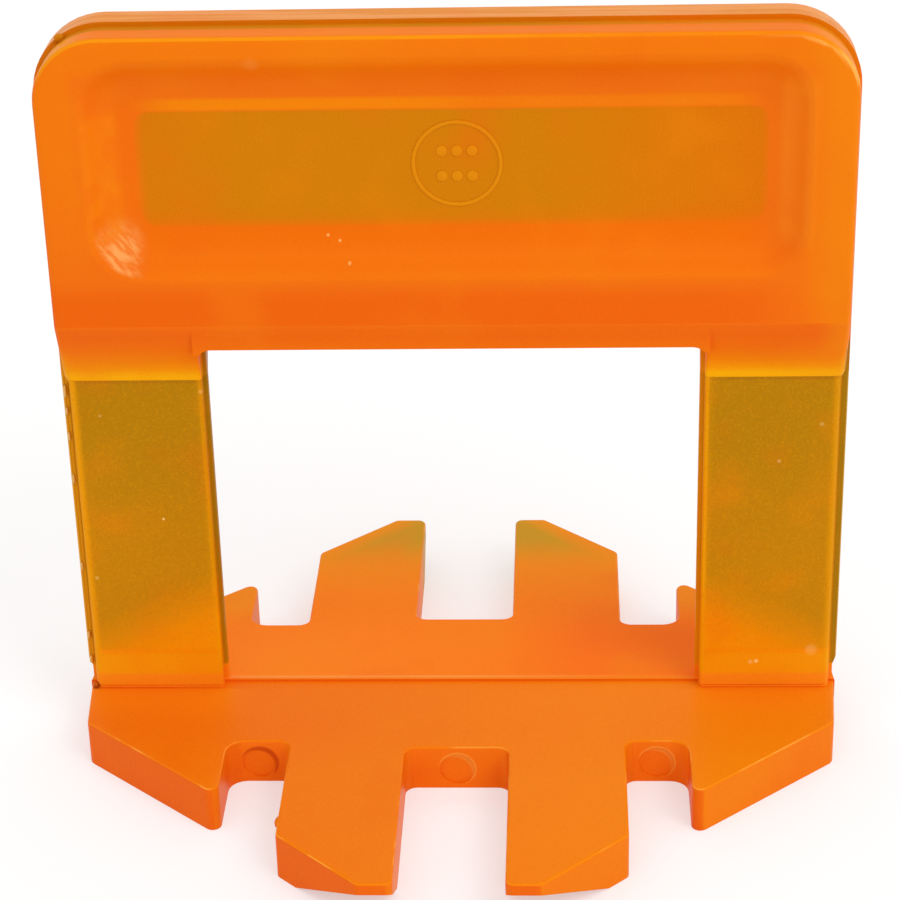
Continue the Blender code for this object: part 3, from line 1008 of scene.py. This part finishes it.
        # Painted sheen on the back half's flat top, broken by darker streaks.
        back_top = desk.mask(place.face_z, 0.5, 0.8) * desk.mask(place.y, -0.02, 0.1)
        back_top = back_top * desk.mask(place.z, 41.0, 43.0)
        streak = desk.noise(desk.add("Mapping", sockets={
            "Vector": place.vector,
            "Scale": Vector((0.08, 1.6, 1.0)),
        }).outputs[0], 1500.0, 2.0, 0.5)
        strip = desk.mix(desk.mask(streak, 0.42, 0.6), Tone.SALMON_SHEEN, Tone.STRIP_STREAK)
        return desk.mix(back_top, colour, strip)

    def _variation(
        self, place: Place, colour: bpy.types.NodeSocket, cloud: Field, grain: Field, thin: Field
    ) -> bpy.types.NodeSocket:
        """Cloudy patches everywhere, and a fine grain on the thin walls.

        Args:
            place: The coordinates.
            colour: The colours so far.
            cloud: The broad noise.
            grain: The fine noise.
            thin: Where the wall is thin.

        Returns:
            The colour socket.
        """
        desk = place.desk
        colour = desk.mix(desk.mask(cloud, 0.5, 0.8) * 0.35, colour, Tone.PAINTED_LIGHT_AND_CLOUD)
        colour = desk.mix(desk.mask(cloud, 0.5, 0.2) * 0.3, colour, Tone.LIP)
        fine = 0.5 + 0.5 * thin
        share = fine * (0.14 + 0.1 * desk.mask(place.z, 26.0, 24.0))
        colour = desk.mix(desk.mask(grain, 0.5, 0.75) * share, colour, Tone.BRIGHT_EDGE)
        return desk.mix(desk.mask(grain, 0.5, 0.25) * share, colour, Tone.SHADED_EDGE)


@dataclass(frozen=True)
class PaleFloor:
    """A plain pale surface that keeps the clip's soft shadow.

    It lights the clip as its grey does. The rays that show it add a glow to a darker grey, so that
    it is nearly white in the picture and its shadow stays faint.
    """

    name: str = "pale_floor"
    grey: float = 0.93
    seen_grey: float = 0.55
    seen_glow: float = 0.46

    def build(self) -> bpy.types.Material:
        """Makes the material.

        Returns:
            The new material.
        """
        material = bpy.data.materials.new(self.name)
        material.use_nodes = True
        desk = NodeDesk(material.node_tree)
        seen = desk.seen_rays()
        colour = desk.mix(seen, (self.grey,) * 3, (self.seen_grey,) * 3)
        shader = desk.add("BsdfDiffuse", sockets={"Color": colour})
        glow = desk.add("Emission", sockets={"Color": WHITE, "Strength": seen * self.seen_glow})
        both = desk.add("AddShader", sockets={0: shader.outputs[0], 1: glow.outputs[0]})
        desk.add("OutputMaterial", sockets={"Surface": both.outputs[0]})
        material.cycles.emission_sampling = "NONE"
        return material


def clear_default_objects() -> None:
    """Removes what a new Blender scene holds beside the loaded frame."""
    kept = set(frame["nodes"].values()) | set(frame["bodies"].values())
    for item in list(bpy.data.objects):
        if item not in kept:
            bpy.data.objects.remove(item, do_unlink=True)


def only_select(item: bpy.types.Object) -> None:
    """Makes one object the only selected and active one.

    Args:
        item: The object.
    """
    bpy.ops.object.select_all(action="DESELECT")
    item.select_set(True)
    bpy.context.view_layer.objects.active = item


def select_faces(item: bpy.types.Object, wanted: Callable[[bpy.types.MeshPolygon], bool]) -> None:
    """Selects some of a piece's faces and leaves it in edit mode.

    Args:
        item: The piece, already active.
        wanted: Says of a face whether it is to be selected.
    """
    bpy.ops.object.mode_set(mode="EDIT")
    bpy.ops.mesh.select_mode(type="FACE")
    bpy.ops.mesh.select_all(action="DESELECT")
    bpy.ops.object.mode_set(mode="OBJECT")
    for face in item.data.polygons:
        face.select = wanted(face)
    bpy.ops.object.mode_set(mode="EDIT")


def to_origin(item: bpy.types.Object) -> None:
    """Moves a piece's place, turn and size into its mesh.

    Args:
        item: The piece.
    """
    only_select(item)
    bpy.ops.object.transform_apply(location=True, rotation=True, scale=True)


class Moulded:
    """What every piece of the clip shares: its plastic, and the body that it rides on."""

    def dress(self, item: bpy.types.Object, finish: bpy.types.Material) -> None:
        """Gives a piece the plastic and lets it ride on the clip.

        Args:
            item: The piece.
            finish: The plastic.
        """
        item.data.materials.clear()
        item.data.materials.append(finish)
        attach(item, "root")


@dataclass
class SmallMarks(Moulded):
    """Small raised marks, modelled once and copied."""

    weld: float = 0.0005
    smooth_angle: float = math.radians(40)

    def copies(self, first: bpy.types.Object, count: int) -> list[bpy.types.Object]:
        """Copies a piece, each copy with a mesh of its own.

        Args:
            first: The piece.
            count: How many there are to be, the first one included.

        Returns:
            The first piece and its copies.
        """
        pieces = [first]
        for _ in range(count - 1):
            copy = bpy.data.objects.new(first.name, first.data.copy())
            bpy.context.scene.collection.objects.link(copy)
            pieces.append(copy)
        return pieces

    def outward(self, item: bpy.types.Object) -> None:
        """Merges a piece's doubles, turns its faces outwards and smooths its shallow edges.

        Args:
            item: The piece.
        """
        only_select(item)
        bpy.ops.object.mode_set(mode="EDIT")
        bpy.ops.mesh.select_all(action="SELECT")
        bpy.ops.mesh.remove_doubles(threshold=self.weld * MM)
        bpy.ops.mesh.normals_make_consistent(inside=False)
        bpy.ops.object.mode_set(mode="OBJECT")
        bpy.ops.object.shade_smooth_by_angle(angle=self.smooth_angle)


@dataclass
class CavityMark(SmallMarks):
    """The low ring on the web, with plain dots where the real mould has its number."""

    x: float = 0.59
    height: float = 37.37
    radius: float = 2.45
    ring_width: float = 0.24
    root: float = -0.62
    top: float = -0.765
    ring_edge: float = 0.06
    ring_sides: int = 72
    dot_radius: float = 0.34
    dot_edge: float = 0.09
    dot_sides: int = 24
    dot_columns: tuple[float, ...] = (-0.85, 0.0, 0.85)
    dot_rows: tuple[float, ...] = (0.75, -0.75)

    def build(self, finish: bpy.types.Material) -> list[bpy.types.Object]:
        """Makes the ring and the dots.

        Args:
            finish: The plastic.

        Returns:
            The pieces.
        """
        places = [(across, up) for up in self.dot_rows for across in self.dot_columns]
        dots = self.copies(self._dot(), len(places))
        for number, (dot, (across, up)) in enumerate(zip(dots, places), 1):
            dot.name = f"cavity_dot_{number}"
            dot.location = Vector((self.x + across, 0, self.height + up)) * MM
            to_origin(dot)
        pieces = [self._ring(), *dots]
        for piece in pieces:
            self.outward(piece)
            self.dress(piece, finish)
        return pieces

    def _ring(self) -> bpy.types.Object:
        """A flat ring with its front edges bevelled.

        Returns:
            The ring, in its place.
        """
        bpy.ops.object.select_all(action="DESELECT")
        place = Vector((self.x, self.root, self.height)) * MM
        outer = self.radius + self.ring_width / 2
        bpy.ops.mesh.primitive_circle_add(
            vertices=self.ring_sides,
            radius=outer * MM,
            location=place,
            rotation=TO_FRONT,
        )
        ring = bpy.context.object
        ring.name = "cavity_ring"
        to_origin(ring)
        inner = (outer - self.ring_width) / outer
        forward = (self.top - self.root) * MM
        bpy.ops.object.mode_set(mode="EDIT")
        bpy.ops.mesh.select_all(action="SELECT")
        bpy.ops.mesh.extrude_edges_move()
        bpy.ops.transform.resize(value=(inner, 1, inner), center_override=place)
        bpy.ops.mesh.select_all(action="SELECT")
        bpy.ops.mesh.extrude_region_move(TRANSFORM_OT_translate={"value": (0, forward, 0)})
        bpy.ops.object.mode_set(mode="OBJECT")
        self._bevel_front(ring, self.ring_edge)
        return ring

    def _dot(self) -> bpy.types.Object:
        """A low round dot at the mark's own centre.

        Returns:
            The dot.
        """
        bpy.ops.object.select_all(action="DESELECT")
        bpy.ops.mesh.primitive_cylinder_add(
            vertices=self.dot_sides,
            radius=self.dot_radius * MM,
            depth=(self.root - self.top) * MM,
            location=(0, (self.root + self.top) / 2 * MM, 0),
            rotation=TO_FRONT,
        )
        dot = bpy.context.object
        to_origin(dot)
        self._bevel_front(dot, self.dot_edge)
        return dot

    def _bevel_front(self, item: bpy.types.Object, width: float) -> None:
        """Bevels the edges round a piece's front faces.

        Args:
            item: The piece.
            width: The bevel's width in millimetres.
        """
        only_select(item)
        select_faces(item, lambda face: abs(face.center.y - self.top * MM) < CLOSE)
        bpy.ops.mesh.region_to_loop()
        bpy.ops.mesh.bevel(offset=width * MM, segments=2, affect="EDGES")
        bpy.ops.object.mode_set(mode="OBJECT")


@dataclass(frozen=True)
class Lump:
    """One lump of flash: its middle, and half its length along X, Y and Z."""

    middle: tuple[float, float, float]
    halves: tuple[float, float, float]


@dataclass
class Flash(SmallMarks):
    """Small lumps of flash along the parting line and on the edge of a finger."""

    unevenness: float = 0.22
    seed: int = 4
    lumps: tuple[Lump, ...] = (
        Lump((-21.25, -0.02, 44.75), (0.34, 0.3, 0.26)),
        Lump((-22.86, -0.1, 23.05), (0.13, 0.14, 0.45)),
        Lump((-22.86, -0.08, 21.75), (0.12, 0.12, 0.26)),
        Lump((-22.87, -0.08, 20.05), (0.11, 0.12, 0.3)),
        Lump((-22.86, -0.06, 17.2), (0.1, 0.1, 0.35)),
        Lump((-22.88, -0.06, 11.2), (0.1, 0.1, 0.3)),
        Lump((-22.86, -0.1, 6.35), (0.13, 0.14, 0.28)),
        Lump((-22.84, -0.1, 4.6), (0.13, 0.14, 0.3)),
        Lump((-22.6, -0.62, 3.1), (0.2, 0.16, 0.18)),
        Lump((-10.02, -13.8, 2.1), (0.28, 0.42, 0.3)),
        Lump((22.8, -0.1, 28.5), (0.19, 0.2, 0.22)),
    )

    def build(self, finish: bpy.types.Material) -> list[bpy.types.Object]:
        """Models one lump and copies it, with a size of its own, to each place.

        Args:
            finish: The plastic.

        Returns:
            The lumps.
        """
        bpy.ops.object.select_all(action="DESELECT")
        bpy.ops.mesh.primitive_ico_sphere_add(subdivisions=3, radius=1.0, location=(0, 0, 0))
        first = bpy.context.object
        bpy.ops.object.mode_set(mode="EDIT")
        bpy.ops.mesh.select_all(action="SELECT")
        bpy.ops.transform.vertex_random(
            offset=self.unevenness, uniform=0.0, normal=1.0, seed=self.seed
        )
        bpy.ops.mesh.vertices_smooth(factor=0.5, repeat=2)
        bpy.ops.object.mode_set(mode="OBJECT")
        pieces = self.copies(first, len(self.lumps))
        for number, (piece, lump) in enumerate(zip(pieces, self.lumps), 1):
            piece.name = f"flash_{number}"
            piece.location = Vector(lump.middle) * MM
            piece.scale = Vector(lump.halves) * MM
            to_origin(piece)
            self.outward(piece)
            self.dress(piece, finish)
        return pieces


@dataclass
class ClipShell(Moulded):
    """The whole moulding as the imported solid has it, smoothed, with its lower edges softened."""

    node: str = "levelling_clip"
    weld: float = 0.001
    smooth_angle: float = math.radians(28)
    lower_edge: float = 0.35
    lower_edge_steps: int = 3

    def build(self, finish: bpy.types.Material) -> bpy.types.Object:
        """Copies the solid's mesh, welds it, softens it and gives it its looks.

        Args:
            finish: The plastic.

        Returns:
            The shell.
        """
        shell = bpy.data.objects.new("clip_shell", frame["nodes"][self.node].data.copy())
        bpy.context.scene.collection.objects.link(shell)
        only_select(shell)
        bpy.ops.object.mode_set(mode="EDIT")
        bpy.ops.mesh.select_all(action="SELECT")
        bpy.ops.mesh.remove_doubles(threshold=self.weld * MM)
        bpy.ops.mesh.customdata_custom_splitnormals_clear()
        bpy.ops.object.mode_set(mode="OBJECT")
        self._soften_underside(shell)
        bpy.ops.object.shade_smooth_by_angle(angle=self.smooth_angle)
        weighted = shell.modifiers.new("even highlights", "WEIGHTED_NORMAL")
        weighted.keep_sharp = True
        bpy.ops.object.modifier_apply(modifier=weighted.name)
        self.dress(shell, finish)
        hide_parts(self.node)
        return shell

    def _soften_underside(self, shell: bpy.types.Object) -> None:
        """Rounds the edges between the base's underside and its walls.

        Args:
            shell: The shell.
        """
        select_faces(shell, lambda face: face.center.z < CLOSE and face.normal.z < -0.99)
        bpy.ops.mesh.dissolve_faces()
        bpy.ops.mesh.region_to_loop()
        bpy.ops.mesh.bevel(
            offset=self.lower_edge * MM,
            segments=self.lower_edge_steps,
            affect="EDGES",
            clamp_overlap=True,
        )
        bpy.ops.mesh.select_all(action="SELECT")
        bpy.ops.mesh.remove_doubles(threshold=self.weld * MM)
        bpy.ops.object.mode_set(mode="OBJECT")


@dataclass
class ProductCamera:
    """The camera at the photograph's viewing angle, with its angles in degrees."""

    focal_pixels: float = 2626.81
    frame_pixels: float = 900.0
    centre_row: float = 390.0
    yaw: float = -2.775
    pitch: float = 25.946
    roll: float = 1.559
    target_x: float = -0.18
    target_z: float = 22.936
    distance: float = 153.762
    sensor: float = 36.0

    def build(self) -> bpy.types.Object:
        """Makes the camera and puts it in use.

        Returns:
            The camera.
        """
        yaw, pitch, roll = (math.radians(angle) for angle in (self.yaw, self.pitch, self.roll))
        forward = Vector((
            math.sin(yaw) * math.cos(pitch),
            math.cos(yaw) * math.cos(pitch),
            -math.sin(pitch),
        ))
        level_right = Vector((math.cos(yaw), -math.sin(yaw), 0))
        level_down = forward.cross(level_right)
        right = level_right * math.cos(roll) + level_down * math.sin(roll)
        down = level_down * math.cos(roll) - level_right * math.sin(roll)
        turn = Matrix((right, -down, -forward)).transposed().to_4x4()
        target = Vector((self.target_x, 0, self.target_z))
        lens = bpy.data.cameras.new("photo_camera")
        lens.sensor_width = self.sensor
        lens.lens = self.focal_pixels * self.sensor / self.frame_pixels
        lens.shift_y = (self.centre_row - self.frame_pixels / 2) / self.frame_pixels
        lens.clip_start = MM
        camera = bpy.data.objects.new("photo_camera", lens)
        bpy.context.scene.collection.objects.link(camera)
        camera.matrix_world = Matrix.Translation((target - forward * self.distance) * MM) @ turn
        bpy.context.scene.camera = camera
        return camera


@dataclass
class Studio:
    """A pale floor, an even white surround and a soft lamp, in metres and watts."""

    floor_size: float = 6.0
    surround: float = 0.92
    lamp_place: tuple[float, float, float] = (0.26, -0.26, 0.40)
    lamp_power: float = 0.6
    lamp_size: float = 0.25
    aim_height: float = 0.022

    def build(self) -> bpy.types.Object:
        """Makes the floor, the surround and the lamp.

        Returns:
            The floor.
        """
        bpy.ops.object.select_all(action="DESELECT")
        bpy.ops.mesh.primitive_plane_add(size=self.floor_size, location=(0, 0, 0))
        floor = bpy.context.object
        floor.name = "floor"
        floor.data.materials.append(PaleFloor().build())
        self._surround()
        self._lamp()
        bpy.context.scene.view_settings.view_transform = "Standard"
        return floor

    def _surround(self) -> None:
        """Lights the scene evenly, and shows white where the camera sees past the floor."""
        world = bpy.data.worlds.new("studio")
        bpy.context.scene.world = world
        world.use_nodes = True
        desk = NodeDesk(world.node_tree)
        strength = self.surround + desk.seen_rays() * (1 - self.surround)
        background = desk.add("Background", sockets={"Color": WHITE, "Strength": strength})
        desk.add("OutputWorld", sockets={0: background.outputs[0]})

    def _lamp(self) -> None:
        """Adds the square lamp, which looks at the middle of the clip."""
        light = bpy.data.lights.new("key_lamp", "AREA")
        light.energy = self.lamp_power
        light.size = self.lamp_size
        lamp = bpy.data.objects.new("key_lamp", light)
        bpy.context.scene.collection.objects.link(lamp)
        lamp.location = Vector(self.lamp_place)
        aim = Vector((0, 0, self.aim_height)) - lamp.location
        lamp.rotation_euler = aim.to_track_quat("-Z", "Y").to_euler()


def main() -> None:
    """Builds the scene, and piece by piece."""
    logging.basicConfig(level=logging.INFO, format="%(message)s")
    clear_default_objects()
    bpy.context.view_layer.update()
    camera = ProductCamera().build()
    LOG.info("%s: %.1f mm lens", camera.name, camera.data.lens)
    Studio().build()
    plastic = TranslucentPlastic().build()
    shell = ClipShell().build(plastic)
    pieces = [shell, *CavityMark().build(plastic), *Flash().build(plastic)]
    for piece in pieces:
        LOG.info("%s: %d faces", piece.name, len(piece.data.polygons))


if __name__ == "__main__":
    main()
